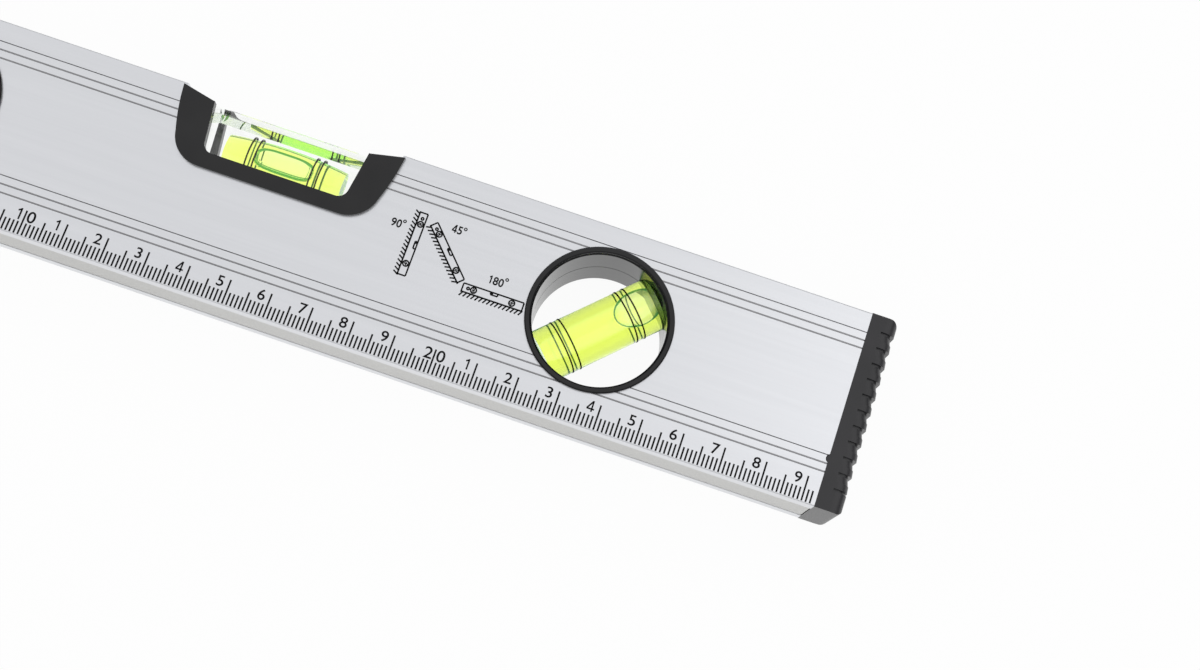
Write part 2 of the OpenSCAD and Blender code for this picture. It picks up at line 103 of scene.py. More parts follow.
# %% Camera
CAMERA_PLACE = Vector((93.30, -90.24, 395.14)) * mm
CAMERA_TARGET = Vector((84.46, -2.08, 22.8)) * mm
SLANT = math.radians(18.506)
LENS = 49.641
SENSOR = 36

gaze = (CAMERA_TARGET - CAMERA_PLACE).normalized()
right = gaze.cross(Vector((-math.sin(SLANT), math.cos(SLANT), 0))).normalized()
up = right.cross(gaze)
camera_data = bpy.data.cameras.new("camera")
camera_data.lens = LENS
camera_data.sensor_width = SENSOR
camera = bpy.data.objects.new("camera", camera_data)
turn = Matrix((right, up, -gaze)).transposed()
camera.matrix_world = Matrix.Translation(CAMERA_PLACE) @ turn.to_4x4()
bpy.context.scene.collection.objects.link(camera)
bpy.context.scene.camera = camera
bpy.context.scene.view_settings.view_transform = "Standard"
print("camera", round((CAMERA_TARGET - CAMERA_PLACE).length / mm), "mm from the face")

# %% [markdown]
# ## Material helpers
# Every finish here is a Principled shader with a little procedural life in it. Small helpers cover most
# of that. A grain is a noise that may be stretched along the level. It is spread over a small range of a
# number, toned over a small range of a colour, or felt as a faint relief. Object coordinates are in metres,
# so a scale of 1000 is one cell per millimetre.

# %% Helpers for materials
GRAIN_LOW = 0.3
GRAIN_HIGH = 0.7


def new_finish(name):
    made = bpy.data.materials.new(name)
    made.use_nodes = True
    tree = made.node_tree
    return made, tree, tree.nodes["Principled BSDF"]


def grain(tree, scale, stretch=(1, 1, 1), detail=2.0):
    place = tree.nodes.new("ShaderNodeTexCoord")
    size = tree.nodes.new("ShaderNodeMapping")
    size.inputs["Scale"].default_value = stretch
    noise = tree.nodes.new("ShaderNodeTexNoise")
    noise.inputs["Scale"].default_value = scale
    noise.inputs["Detail"].default_value = detail
    tree.links.new(place.outputs["Object"], size.inputs["Vector"])
    tree.links.new(size.outputs["Vector"], noise.inputs["Vector"])
    return noise.outputs["Fac"]


def spread(tree, source, low, high):
    fit = tree.nodes.new("ShaderNodeMapRange")
    fit.inputs["From Min"].default_value = GRAIN_LOW
    fit.inputs["From Max"].default_value = GRAIN_HIGH
    fit.inputs["To Min"].default_value = low
    fit.inputs["To Max"].default_value = high
    tree.links.new(source, fit.inputs["Value"])
    return fit.outputs["Result"]


def tones(tree, source, dark, light):
    ramp = tree.nodes.new("ShaderNodeValToRGB")
    ramp.color_ramp.elements[0].position = GRAIN_LOW
    ramp.color_ramp.elements[1].position = GRAIN_HIGH
    ramp.color_ramp.elements[0].color = (*dark, 1)
    ramp.color_ramp.elements[1].color = (*light, 1)
    tree.links.new(source, ramp.inputs["Fac"])
    return ramp.outputs["Color"]


def relief(tree, shader, source, strength, depth):
    bump = tree.nodes.new("ShaderNodeBump")
    bump.inputs["Strength"].default_value = strength
    bump.inputs["Distance"].default_value = depth
    tree.links.new(source, bump.inputs["Height"])
    tree.links.new(bump.outputs["Normal"], shader.inputs["Normal"])


def mottled(tree, shader, source, dark, light, rough_low, rough_high):
    """One grain for both the tone and the roughness."""
    tree.links.new(tones(tree, source, dark, light), shader.inputs["Base Color"])
    tree.links.new(spread(tree, source, rough_low, rough_high), shader.inputs["Roughness"])


# %% [markdown]
# ## Aluminium
# The box section is extruded, blasted and clear anodised: a pale grey metal with a soft, even sheen and
# only a trace of die lines along its length. A fully metallic shader takes its tone from what it mirrors,
# so the colour is a light grey and the roughness decides how soft the studio looks in it. The score lines
# get painted shade: what lies a hair below either face, away from the level's edges, is given a darker
# colour. A material can find that out by itself, from the coordinates of the place that it shades.

# %% Places and sums in a material


def coordinates(tree, kind="Object"):
    """Sockets with the X, Y and Z of the place or the direction that is shaded."""
    place = tree.nodes.new("ShaderNodeTexCoord")
    parts = tree.nodes.new("ShaderNodeSeparateXYZ")
    tree.links.new(place.outputs[kind], parts.inputs[0])
    return parts.outputs


def formula(tree, kind, *terms):
    """A math node whose terms are sockets or plain numbers."""
    node = tree.nodes.new("ShaderNodeMath")
    node.operation = kind
    for k, term in enumerate(terms):
        if isinstance(term, (int, float)):
            node.inputs[k].default_value = term
        else:
            tree.links.new(term, node.inputs[k])
    return node.outputs[0]


# %% Score lines and their painted shade
GROOVE_LOW = 0.6 * mm
GROOVE_HIGH = 0.02 * mm
GROOVE_REACH = 20.5 * mm
# Painted shade: the darker colour given to the score lines.
GROOVE_SHADE_TONE = (0.55, 0.55, 0.56, 1)


def where_groove_shade_is_painted(tree):
    """1 in the score lines of both faces, where a darker colour paints shade, and 0 elsewhere."""
    where = coordinates(tree)
    from_middle = formula(tree, "ABSOLUTE", formula(tree, "SUBTRACT", where["Z"], mid_z))
    half_t = face_z - mid_z
    sunk = formula(
        tree, "COMPARE", from_middle, half_t - (GROOVE_LOW + GROOVE_HIGH) / 2, (GROOVE_LOW - GROOVE_HIGH) / 2
    )
    from_axis = formula(tree, "ABSOLUTE", formula(tree, "SUBTRACT", where["Y"], (base_y + top_y) / 2))
    return formula(tree, "MULTIPLY", sunk, formula(tree, "LESS_THAN", from_axis, GROOVE_REACH))


# %% Aluminium
aluminium, tree, shader = new_finish("satin_anodised_aluminium")
die_lines = grain(tree, 900, stretch=(0.02, 1, 1), detail=4.0)
blasting = grain(tree, 5000)
shader.inputs["Metallic"].default_value = 1.0
metal = tones(tree, die_lines, (0.72, 0.73, 0.76), (0.745, 0.755, 0.785))
# Painted shade: the score lines get the darker colour instead of the metal's own tone.
groove_shade_mix = tree.nodes.new("ShaderNodeMixRGB")
groove_shade_mix.inputs["Color2"].default_value = GROOVE_SHADE_TONE
tree.links.new(where_groove_shade_is_painted(tree), groove_shade_mix.inputs["Fac"])
tree.links.new(metal, groove_shade_mix.inputs["Color1"])
tree.links.new(groove_shade_mix.outputs["Color"], shader.inputs["Base Color"])
tree.links.new(spread(tree, blasting, 0.30, 0.38), shader.inputs["Roughness"])
relief(tree, shader, blasting, 0.12, 0.03 * mm)
print("made", aluminium.name)

# %% [markdown]
# ## Black plastic
# The frame, the window rings, the eyelet and the caps are moulded in black plastic. Close to they are
# nearly black, but at a grazing angle the bore of a ring mirrors the white bench and turns pale grey.
# Fresnel gloss does that by itself, so the colour stays dark and the roughness moderate. The caps are a
# touch greyer and carry a finer spark texture.

# %% Black plastics


def moulded_plastic(name, dark, light, rough_low, rough_high, texture, index):
    made, tree, shader = new_finish(name)
    spark = grain(tree, texture, detail=3.0)
    cloud = grain(tree, 120)
    tree.links.new(tones(tree, cloud, dark, light), shader.inputs["Base Color"])
    tree.links.new(spread(tree, spark, rough_low, rough_high), shader.inputs["Roughness"])
    shader.inputs["IOR"].default_value = index
    relief(tree, shader, spark, 0.08, 0.04 * mm)
    return made


black_plastic = moulded_plastic(
    "black_plastic_satin", (0.006, 0.006, 0.007), (0.010, 0.010, 0.011), 0.12, 0.18, texture=2500, index=1.43
)
cap_plastic = moulded_plastic(
    "cap_plastic_sparked", (0.007, 0.007, 0.009), (0.012, 0.011, 0.014), 0.28, 0.40, texture=3500, index=1.51
)
print("made", black_plastic.name, "and", cap_plastic.name)

# %% [markdown]
# ## Magnet strip, clear plastic, liquid and ink
# The magnet strip is a pale dull metal-filled band. The clear plastic is acrylic with an index of 1.49.
# The liquid is a thin spirit with a yellow-green dye. Its tint grows with depth, so it is an absorbing
# volume: the slim level vial and the place of a bubble come out paler by themselves. The liquid also
# gives off a faint green emission, which is painted light in place of the dye's fluorescence: it lies over
# all that is seen through it, and turns the far side of a ring line dark green. The level vial's block is
# backed with white paint underneath. A glow is painted on that paint as emission, green round the middle
# and pale towards the ends, in place of the dye's light gathered there. Ink and ring paint are dull
# blacks with hardly any gloss.

# %% Magnet strip and clear plastic
ACRYLIC_INDEX = 1.49


def clear_finish(name, index):
    made, tree, shader = new_finish(name)
    shader.inputs["Transmission Weight"].default_value = 1.0
    shader.inputs["IOR"].default_value = index
    return made, tree, shader


magnet_finish, tree, shader = new_finish("magnet_strip_dull")
speck = grain(tree, 1800, detail=4.0)
mottled(tree, shader, speck, (0.60, 0.60, 0.59), (0.72, 0.72, 0.70), 0.45, 0.6)
shader.inputs["Metallic"].default_value = 0.5
relief(tree, shader, speck, 0.1, 0.03 * mm)

acrylic, tree, shader = clear_finish("clear_acrylic", ACRYLIC_INDEX)
haze = grain(tree, 300)
shader.inputs["Base Color"].default_value = (0.985, 0.995, 0.985, 1)
tree.links.new(spread(tree, haze, 0.0, 0.015), shader.inputs["Roughness"])

sealed_plastic, tree, shader = clear_finish("plug_plastic_green", ACRYLIC_INDEX)
cloud = grain(tree, 200)
tree.links.new(tones(tree, cloud, (0.09, 0.16, 0.02), (0.15, 0.24, 0.04)), shader.inputs["Base Color"])
shader.inputs["Roughness"].default_value = 0.1
print("made", magnet_finish.name, acrylic.name, "and", sealed_plastic.name)

# %% Liquid
LIQUID_INDEX = 1.36
# Painted light: the liquid's faint green emission stands in for the dye's fluorescence.
PAINTED_DYE_GLOW = (0.3, 1.0, 0.3, 1)
PAINTED_DYE_GLOW_STRENGTH = 0.06
DYE = (0.975, 1.0, 0.04, 1)
DYE_PER_METRE = 180

liquid, tree, shader = clear_finish("yellow_green_spirit", LIQUID_INDEX)
swirl = grain(tree, 60)
tree.links.new(tones(tree, swirl, (0.97, 1.0, 0.82), (1.0, 1.0, 0.88)), shader.inputs["Base Color"])
shader.inputs["Roughness"].default_value = 0.0
shader.inputs["Emission Color"].default_value = PAINTED_DYE_GLOW
shader.inputs["Emission Strength"].default_value = PAINTED_DYE_GLOW_STRENGTH
dye = tree.nodes.new("ShaderNodeVolumeAbsorption")
dye.inputs["Color"].default_value = DYE
dye.inputs["Density"].default_value = DYE_PER_METRE
tree.links.new(dye.outputs["Volume"], tree.nodes["Material Output"].inputs["Volume"])
print("made", liquid.name)

# %% Backing of the clear block, with a painted glow
GLOW_GREEN_HALF = 5.5 * mm
GLOW_PALE_HALF = 10.5 * mm
BACKING_PAINTED_GLOW_STRENGTH = 0.58

backing_paint_and_glow, tree, shader = new_finish("white_backing_paint_and_painted_glow")
brushed = grain(tree, 900)
mottled(tree, shader, brushed, (0.80, 0.80, 0.79), (0.86, 0.86, 0.85), 0.5, 0.6)
# Painted light: the backing glows by emission, green round the middle of the block and fading to a pale glow
# towards its ends.
fade = tree.nodes.new("ShaderNodeMapRange")
fade.inputs["From Min"].default_value = GLOW_GREEN_HALF
fade.inputs["From Max"].default_value = GLOW_PALE_HALF
tree.links.new(formula(tree, "ABSOLUTE", coordinates(tree)["X"]), fade.inputs["Value"])
backing_painted_glow = tones(tree, fade.outputs["Result"], (0.36, 1.0, 0.60), (0.9, 0.95, 0.9))
tree.links.new(backing_painted_glow, shader.inputs["Emission Color"])
shader.inputs["Emission Strength"].default_value = BACKING_PAINTED_GLOW_STRENGTH
print("made", backing_paint_and_glow.name)

# %% Ink and ring paint
DULL = 0.1


def dull_black(name, dark, light):
    made, tree, shader = new_finish(name)
    mottled(tree, shader, grain(tree, 2000), dark, light, 0.45, 0.6)
    shader.inputs["Specular IOR Level"].default_value = DULL
    return made


ink = dull_black("printed_ink", (0.004, 0.004, 0.004), (0.010, 0.010, 0.011))
ring_paint = dull_black("ring_line_paint", (0.003, 0.003, 0.003), (0.008, 0.008, 0.008))
print("finishes:", len(bpy.data.materials))

# %% [markdown]
# ## Dress the solids
# A solid whose shape is right keeps it and only takes a finish. Which finish goes where is read from the
# material slot that the part's own record gives each solid.

# %% Dress the solids
FINISHES = {
    "aluminium_body": aluminium,
    "cap_plastic": cap_plastic,
    "black_plastic": black_plastic,
    "magnet_strip": magnet_finish,
    "clear_acrylic": acrylic,
    "vial_liquid": liquid,
    "line_ink": ring_paint,
}
for sub in frame["record"]["subparts"]:
    nodes[sub["node"]].data.materials.clear()
    nodes[sub["node"]].data.materials.append(FINISHES[sub["material_slot"]])

# %% [markdown]
# ## Making pieces
# The pieces that are built here are all mesh code. One helper turns a bmesh into an object that rides on
# the level, and one turns a profile into a lathed solid, the natural way to make a vial. Every piece gets
# smooth shading with its true edges kept sharp.

# %% Helpers for pieces
SMOOTH_ANGLE = math.radians(32)
SAME_PLACE = 1e-7


def shade(mesh):
    mesh.shade_smooth()
    mesh.set_sharp_from_angle(angle=SMOOTH_ANGLE)


def make_piece(name, shape, finish, place=None):
    mesh = bpy.data.meshes.new(name)
    bmesh.ops.recalc_face_normals(shape, faces=shape.faces)
    shape.to_mesh(mesh)
    shape.free()
    if place is not None:
        mesh.transform(place)
    shade(mesh)
    mesh.materials.append(finish)
    piece = bpy.data.objects.new(name, mesh)
    bpy.context.scene.collection.objects.link(piece)
    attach(piece, "root")
    return piece


def lathed(profile, turns=128):
    """A closed solid from (along, radius) points, turned about the X axis."""
    shape = bmesh.new()
    corners = [shape.verts.new((along, 0, radius)) for along, radius in profile]
    ring = [shape.edges.new(pair) for pair in zip(corners, corners[1:])]
    bmesh.ops.spin(
        shape, geom=corners + ring, cent=(0, 0, 0), axis=(1, 0, 0), angle=math.tau, steps=turns,
        use_merge=True,
    )
    bmesh.ops.remove_doubles(shape, verts=shape.verts, dist=SAME_PLACE)
    return shape


# %% [markdown]
# ## Vials in the round windows
# A vial is an acrylic tube with one closed end and a plug, filled with spirit and one bubble. Light has to
# pass tube, liquid and bubble without an air gap between them, or the edges mirror like a dry tube. So the
# liquid's skin lies a hair inside the tube's wall, a trick that keeps the bending right. The bore is a
# shallow barrel, as in real vials, so that the bubble finds the middle when the level is true. Here the
# level lies on its back and the bubble has run up against the plug, on the side that faces up.

# %% Sizes of the window vials
BARREL = 0.12 * mm
SKIN = 0.03 * mm
END_ROUND = 0.25 * mm
tube_low, tube_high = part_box("plumb_vial_tube")
spirit_low, spirit_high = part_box("plumb_vial_liquid")
tube_r = (tube_high.z - tube_low.z) / 2
tube_half = (tube_high.y - tube_low.y) / 2
bore_r = (spirit_high.x - spirit_low.x) / 2
closed_end = spirit_low.y - tube_low.y
plug_t = tube_high.y - spirit_high.y
print("tube r", round(tube_r / mm, 2), "bore r", round(bore_r / mm, 2))

# %% Tube, plug and liquid of a vial


def barrel_line(first, last, radius, sag=BARREL, steps=16):
    """Points of a bore from first to last, widest in the middle and narrower by sag at both ends."""
    half, centre = (last - first) / 2, (last + first) / 2
    ts = [2 * k / steps - 1 for k in range(steps + 1)]
    return [(centre + half * t, radius - sag * t * t) for t in ts]


def rounded_end(x, radius, way, steps=4):
    """Quarter round at the rim of an end face at x; way is 1 at the far end and -1 at the near one."""
    ring = []
    for k in range(steps + 1):
        a = math.pi / 2 * k / steps
        ring.append((x - way * END_ROUND * (1 - math.sin(a)), radius - END_ROUND * (1 - math.cos(a))))
    return ring if way > 0 else ring[::-1]


def vial_tube_shape(radius, half, bore, closed, open_from):
    outside = [(-half, 0.0)] + rounded_end(-half, radius, -1) + rounded_end(half, radius, 1)
    inside = [(half, bore), (open_from, bore)] + barrel_line(-half + closed, open_from, bore)[::-1]
    return lathed(outside + inside + [(-half + closed, 0.0)])


def plug_shape(first, last, bore):
    inside, outer = bore + SKIN, last - SKIN
    return lathed([(first, 0.0), (first, inside), (outer, inside), (outer, 0.0)])


def liquid_shape(first, last, bore, sag=BARREL):
    side = [(x, r + SKIN) for x, r in barrel_line(first, last, bore, sag)]
    return lathed([(first, 0.0)] + side + [(last, 0.0)])


# %% [markdown]
# ## The bubble
# A bubble in a slim tube is a flattened egg that is pressed against the upper wall. Its widest line lies
# below the wall, inside the liquid, and that steep rim is what draws the bubble's dark outline. It is cut
# out of the liquid with a boolean, so the liquid has one skin that turns inwards round the bubble. The
# boolean is applied at once, because a finished mesh is what both the renderer and an export should see.

# %% Cut a bubble from a liquid
PRESS = 0.4 * mm
POLE = 1e-4
BUBBLE_STEPS = 48


def bubble_shape(centre_x, length, width, bottom, rim, bore, aside=0.0, blunt=2.0):
    """An egg along X, widest at height rim and lowest at bottom, that is pressed flat by the bore.

    Its ends are those of an ellipse when blunt is 2, and fuller above that.
    """
    shape = bmesh.new()
    bmesh.ops.create_uvsphere(shape, u_segments=2 * BUBBLE_STEPS, v_segments=BUBBLE_STEPS, radius=1.0)
    bmesh.ops.rotate(shape, verts=shape.verts, matrix=Matrix.Rotation(math.pi / 2, 3, "Y"))
    for v in shape.verts:
        along = min(1.0, abs(v.co.x))
        round_r = math.sqrt(1 - along ** 2)
        fuller = (1 - along ** blunt) ** (1 / blunt) / round_r if round_r > POLE else 1.0
        high = bore - rim + PRESS if v.co.z > 0 else rim - bottom
        v.co = Vector((
            centre_x + v.co.x * length / 2, aside + v.co.y * fuller * width / 2, rim + v.co.z * fuller * high
        ))
    return shape


def cut_bubble(piece, bubble):
    cutter_mesh = bpy.data.meshes.new("bubble_cutter")
    bmesh.ops.recalc_face_normals(bubble, faces=bubble.faces)
    bubble.to_mesh(cutter_mesh)
    bubble.free()
    cutter = bpy.data.objects.new("bubble_cutter", cutter_mesh)
    bpy.context.scene.collection.objects.link(cutter)
    cut = piece.modifiers.new("bubble", "BOOLEAN")
    cut.operation = "DIFFERENCE"
    cut.solver = "EXACT"
    cut.object = cutter
    depsgraph = bpy.context.evaluated_depsgraph_get()
    done = bpy.data.meshes.new_from_object(piece.evaluated_get(depsgraph))
    piece.modifiers.clear()
    bpy.data.objects.remove(cutter)
    done.materials.clear()
    done.materials.append(piece.data.materials[0])
    shade(done)
    piece.data = done


# %% Both window vials
VIAL_TURNS = {"plumb": math.radians(90), "angle": math.radians(45)}
WINDOWS = {"plumb": plumb_window, "angle": angle_window}
BUBBLE_LENGTH = 12.4 * mm
BUBBLE_START = 9.9 * mm
BUBBLE_WIDTH = 7.8 * mm
BUBBLE_BOTTOM = 1.2 * mm
BUBBLE_RIM = 3.4 * mm
open_from = tube_half - plug_t
bubble_x = open_from - BUBBLE_START + BUBBLE_LENGTH / 2

for vial, turned in VIAL_TURNS.items():
    stand = Matrix.Translation((WINDOWS[vial].x, WINDOWS[vial].y, mid_z)) @ Matrix.Rotation(turned, 4, "Z")
    tube = make_piece(
        vial + "_tube_clear", vial_tube_shape(tube_r, tube_half, bore_r, closed_end, open_from),
        acrylic, stand,
    )
    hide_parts(vial + "_vial_tube")
    plug = make_piece(
        vial + "_plug_clear", plug_shape(open_from, tube_half, bore_r), sealed_plastic, stand
    )
    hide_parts(vial + "_vial_plug")
    spirit_body = liquid_shape(-tube_half + closed_end - SKIN, open_from + SKIN, bore_r)
    spirit = make_piece(vial + "_spirit", spirit_body, liquid)
    cut_bubble(spirit, bubble_shape(bubble_x, BUBBLE_LENGTH, BUBBLE_WIDTH, BUBBLE_BOTTOM, BUBBLE_RIM, bore_r))
    spirit.data.transform(stand)
    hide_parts(vial + "_vial_liquid")
    print(vial, "vial:", len(tube.data.polygons), "+", len(spirit.data.polygons), "faces")

# %% [markdown]
# ## Level vial in its clear block
# The third vial sits in a bored clear block and is bonded there, so block, tube and plug are one clear
# body to the light. They are drawn as one piece that stands for the three solids: the block's own outline,
# read from the solid, and inside it the liquid. The block's top is a shallow dome, a lens along the level
# that enlarges the bubble for an eye above it. Seen from the face, the far half of the dome mirrors the
# vial and draws a bright stripe over it. So the block is built in slices from face to face, and each slice
# lifts the two top corners by a parabola.

# %% Clear block
DOME_RISE = 2.15 * mm
DOME_RIM = 0.45 * mm
DOME_SLICES = 32
LEVEL_WITH = 0.01 * mm
FACES_DOWN = -0.9
block_mesh = nodes["centre_window_block"].data
block_low, block_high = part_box("centre_window_block")


def block_outline():
    """The block's front outline, in order: its corners on the front plane."""
    seen = {}
    for v in block_mesh.vertices:
        if abs(v.co.z - block_high.z) < LEVEL_WITH:
            seen[(round(v.co.x, 6), round(v.co.y, 6))] = None
    centre = Vector((0, (block_low.y + block_high.y) / 2))
    return sorted(seen, key=lambda at: math.atan2(at[1] - centre.y, at[0] - centre.x))


def block_shape():
    shape = bmesh.new()
    outline = block_outline()
    count = len(outline)
    top = block_high.y - LEVEL_WITH
    slices = []
    for k in range(DOME_SLICES + 1):
        t = 2 * k / DOME_SLICES - 1
        z = block_high.z + (block_low.z - block_high.z) * k / DOME_SLICES
        lift = DOME_RISE * (1 - t * t) - DOME_RIM
        slices.append([shape.verts.new((x, y + lift if y > top else y, z)) for x, y in outline])
    shape.faces.new(slices[0])
    shape.faces.new(slices[-1][::-1])
    for here, there in zip(slices, slices[1:]):
        for j in range(count):
            shape.faces.new((here[j], there[j], there[(j + 1) % count], here[(j + 1) % count]))
    return shape


window_block = make_piece("centre_block_clear", block_shape(), acrylic)
# The faces that look down get the white backing and its painted glow.
window_block.data.materials.append(backing_paint_and_glow)
for face in window_block.data.polygons:
    if face.normal.y < FACES_DOWN:
        face.material_index = 1
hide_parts("centre_window_block", "centre_vial_tube", "centre_vial_plug")
print("block:", len(window_block.data.polygons), "faces")

# %% Liquid of the level vial
CENTRE_BUBBLE_LENGTH = 14.6 * mm
CENTRE_BUBBLE_WIDTH = 5.2 * mm
CENTRE_BUBBLE_BOTTOM = 0.6 * mm
CENTRE_BUBBLE_RIM = 2.6 * mm
CENTRE_BUBBLE_ASIDE = 0.3 * mm
CENTRE_BUBBLE_BLUNT = 3.4
CENTRE_SWELL = 0.35 * mm
CENTRE_BARREL = 1.1 * mm
centre_low, centre_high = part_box("centre_vial_liquid")
centre_bore = (centre_high.y - centre_low.y) / 2 + CENTRE_SWELL
centre_place = (centre_low + centre_high) / 2
centre_stand = Matrix.Translation((centre_place.x, centre_place.y, mid_z))
centre_half = (centre_high.x - centre_low.x) / 2
centre_body = liquid_shape(-centre_half, centre_half, centre_bore - SKIN, CENTRE_BARREL)
centre_spirit = make_piece("centre_spirit", centre_body, liquid)
cut_bubble(
    centre_spirit,
    bubble_shape(
        0, CENTRE_BUBBLE_LENGTH, CENTRE_BUBBLE_WIDTH, CENTRE_BUBBLE_BOTTOM, CENTRE_BUBBLE_RIM, centre_bore,
        CENTRE_BUBBLE_ASIDE, CENTRE_BUBBLE_BLUNT,
    ),
)
centre_spirit.data.transform(centre_stand)
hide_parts("centre_vial_liquid")
print("level vial bore r", round(centre_bore / mm, 2), "length", round(2 * centre_half / mm, 2))

# %% [markdown]
# ## Ring lines
# Two pairs of black lines run round each vial, and the bubble stands between them when the level is true.
# Their solids lie in grooves, flush with the tube, where two surfaces in one place would show as specks. A
# displace modifier gives them a coat of paint on every side, so they stand proud and draw as full lines.

# %% Coat of paint on the ring lines
PAINT = 0.105 * mm
RING_LINES = ("plumb_vial_rings", "angle_vial_rings", "centre_vial_rings")
for node in RING_LINES:
    coat = nodes[node].modifiers.new("coat", "DISPLACE")
    coat.strength = PAINT
    coat.mid_level = 0
print("coated", len(RING_LINES), "sets of ring lines")

# %% [markdown]
# ## The printed rule
# The rule is screen printed in black, straight onto the metal: a tick each millimetre, longer at 5 and at
# 10, and the centimetre's last digit to the left of its tick. Zero is the outer face of the left cap, so
# ticks start and stop on the metal between the caps. Ink is a flat film, so every mark is a thin plate. All
# marks go into one mesh: 300 separate objects would be slower and no clearer.

# %% Helpers for lines and circles
FILM = 0.025 * mm
SUNK = 0.005 * mm


def plate(shape, corners):
    """A thin printed area from corners in X and Y, lying on the face."""
    low = [shape.verts.new((x, y, face_z - SUNK)) for x, y in corners]
    high = [shape.verts.new((x, y, face_z + FILM)) for x, y in corners]
    shape.faces.new(high)
    shape.faces.new(low[::-1])
    for k in range(len(corners)):
        n = (k + 1) % len(corners)
        shape.faces.new((low[k], low[n], high[n], high[k]))


def stroke(shape, start, end, width):
    start, end = Vector(start), Vector(end)
    along = (end - start).normalized()
    side = Vector((-along.y, along.x)) * width / 2
    plate(shape, [start - side, end - side, end + side, start + side])


def ring_mark(shape, centre, radius, width, steps=32):
    """A printed circle, as a band of short plates that share their ends."""
    inner, outer = radius - width / 2, radius + width / 2
    low, high = face_z - SUNK, face_z + FILM
    section = ((inner, low), (outer, low), (outer, high), (inner, high))
    turns = [math.tau * k / steps for k in range(steps)]
    grid = [
        [shape.verts.new((centre[0] + r * math.cos(a), centre[1] + r * math.sin(a), z)) for r, z in section]
        for a in turns
    ]
    for k in range(steps):
        here, there = grid[k], grid[(k + 1) % steps]
        for j in range(4):
            shape.faces.new((here[j], there[j], there[(j + 1) % 4], here[(j + 1) % 4]))


# %% [markdown]
# ## Printed digits
# Most digits come from the built-in type: a text object is extruded to a film, turned into a mesh and added
# to the ticks. The 1 and the 4 are drawn from strokes instead, because that type's 1 has no flag and its 4
# closes up when it is made bolder. The pen of those strokes is as wide as the type's stems.

# %% Helpers for digits
TYPE_HEIGHT = 0.729
TYPE_STEPS = 6
STEM = 0.123
STEM_GAIN = 1.2
DIGIT_PITCH = 0.70


def lettering(shape, digit, centre, height, squeeze, weight):
    """A printed digit of the plain built-in face, made bolder by weight."""
    text = bpy.data.curves.new("digits", "FONT")
    text.body = digit
    text.size = height / TYPE_HEIGHT
    text.align_x = "CENTER"
    text.extrude = FILM / 2
    text.offset = weight
    text.resolution_u = TYPE_STEPS
    letter = bpy.data.objects.new("digits", text)
    bpy.context.scene.collection.objects.link(letter)
    bpy.context.view_layer.update()
    mesh = bpy.data.meshes.new_from_object(letter.evaluated_get(bpy.context.evaluated_depsgraph_get()))
    spot = Matrix.Translation((centre[0], centre[1] - height / 2, face_z + FILM / 2 - SUNK))
    mesh.transform(spot @ Matrix.Diagonal((squeeze, 1, 1, 1)))
    shape.from_mesh(mesh)
    bpy.data.objects.remove(letter)


STROKED_DIGITS = {
    "1": (((0.07, -0.5), (0.07, 0.48)), ((0.07, 0.40), (-0.16, 0.24))),
    "4": (((0.13, -0.5), (0.13, 0.5)), ((-0.31, -0.25), (0.33, -0.25)), ((0.11, 0.45), (-0.27, -0.23))),
}


def stroked(shape, digit, centre, height, squeeze, weight):
    """A printed digit from straight strokes, each given by its two ends in digit heights."""
    pen = STEM * height + STEM_GAIN * weight
    for ends in STROKED_DIGITS[digit]:
        start, end = (Vector((centre[0] + x * squeeze * height, centre[1] + y * height)) for x, y in ends)
        stroke(shape, start, end, pen)


def number(shape, digits, centre, height, squeeze, weight):
    """Printed digits side by side, centred on a point."""
    pitch = DIGIT_PITCH * height * squeeze
    first = centre[0] - pitch * (len(digits) - 1) / 2
    for k, digit in enumerate(digits):
        draw = stroked if digit in STROKED_DIGITS else lettering
        draw(shape, digit, (first + k * pitch, centre[1]), height, squeeze, weight)


# %% Rule
RULE_FOOT = 0.35 * mm
TICK_TOPS = {10: 6.3 * mm, 5: 4.9 * mm, 1: 3.35 * mm}
TICK_WIDTH = 0.42 * mm
DIGIT_HEIGHT = 2.62 * mm
DIGIT_WEIGHT = 0.045 * mm
DIGIT_SPREAD = 1.1
TENS_HEIGHT = 2.85 * mm
DIGIT_AT = (-2.2 * mm, 5.42 * mm)
TENS_AT = (-1.45 * mm, 5.15 * mm)
ZERO_AT = (1.55 * mm, 5.15 * mm)
LAST_CENTIMETRE = 29
rule_zero = cad_box[0].x
first_tick = math.ceil((body_low.x - rule_zero) / mm) + 1
last_tick = math.floor((body_high.x - rule_zero) / mm) - 1

rule = bmesh.new()
for tick in range(first_tick, last_tick + 1):
    x = rule_zero + tick * mm
    step = 10 if tick % 10 == 0 else 5 if tick % 5 == 0 else 1
    stroke(rule, (x, base_y + RULE_FOOT), (x, base_y + TICK_TOPS[step]), TICK_WIDTH)
for centimetre in range(1, LAST_CENTIMETRE + 1):
    if centimetre % 10:
        marks = [(str(centimetre % 10), DIGIT_AT, DIGIT_HEIGHT)]
    else:
        marks = [(str(centimetre // 10), TENS_AT, TENS_HEIGHT), ("0", ZERO_AT, TENS_HEIGHT)]
    for digit, (aside, above), height in marks:
        spot = (rule_zero + centimetre * 10 * mm + aside, base_y + above)
        number(rule, digit, spot, height, DIGIT_SPREAD, DIGIT_WEIGHT)
rule_print = make_piece("rule_print", rule, ink)
print("rule: ticks", first_tick, "to", last_tick, "with", len(rule_print.data.polygons), "faces")

# %% [markdown]
# ## The three small diagrams
# Between the frame and the right window, three small drawings show the level standing against a wall,
# leaning at 45 degrees and lying flat. They are one drawing turned three ways: a bar with a hang hole, two
# round windows and the recess of the level vial, on a hatched surface. One function draws it in the bar's
# own frame and turns each point, so the three stay alike.

